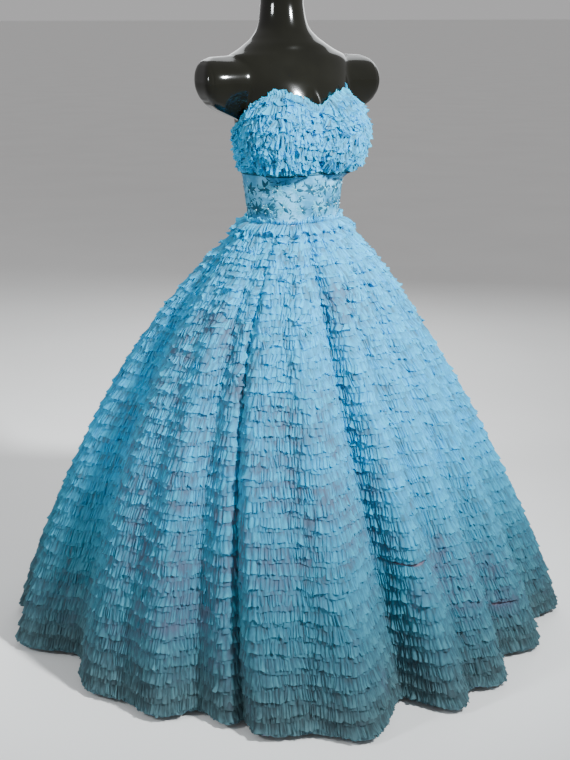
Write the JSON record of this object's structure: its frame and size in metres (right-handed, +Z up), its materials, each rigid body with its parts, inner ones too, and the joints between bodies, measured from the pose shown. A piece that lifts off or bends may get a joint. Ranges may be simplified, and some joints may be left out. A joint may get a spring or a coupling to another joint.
{
  "type": "ruffled ball gown on a dress form",
  "caption": "Strapless full-skirted gown in gathered net ruffles over an embroidered waist band, on an armless display form with a pole and base.",
  "frame": {"origin": "centre of the display form's base, on its underside, where it rests on the floor", "axes": "+Z up, the gown's front faces -Y, the wearer's left is +X"},
  "size_m": [1.3661, 1.3568, 1.535],
  "materials": {
    "net_ruffle": "turquoise nylon net in gathered ruffles, matt with a faint sheen",
    "midriff_cloth": "pale blue satin under sheer net, embroidered with teal sprigs",
    "form_gloss": "glossy black",
    "stand_steel": "brushed"
  },
  "bodies": {
    "root": {"bust_front": "net_ruffle", "bust_back_left": "net_ruffle", "bust_back_right": "net_ruffle", "midriff_front": "midriff_cloth", "midriff_back_left": "midriff_cloth", "midriff_back_right": "midriff_cloth", "back_placket": "midriff_cloth", "waist_ruffle": "net_ruffle", "skirt_front": "net_ruffle", "skirt_side_front_left": "net_ruffle", "skirt_side_front_right": "net_ruffle", "skirt_side_back_left": "net_ruffle", "skirt_side_back_right": "net_ruffle", "skirt_back": "net_ruffle", "form_torso": "form_gloss", "form_pole": "stand_steel", "form_base": "stand_steel"}
  },
  "joints": []
}
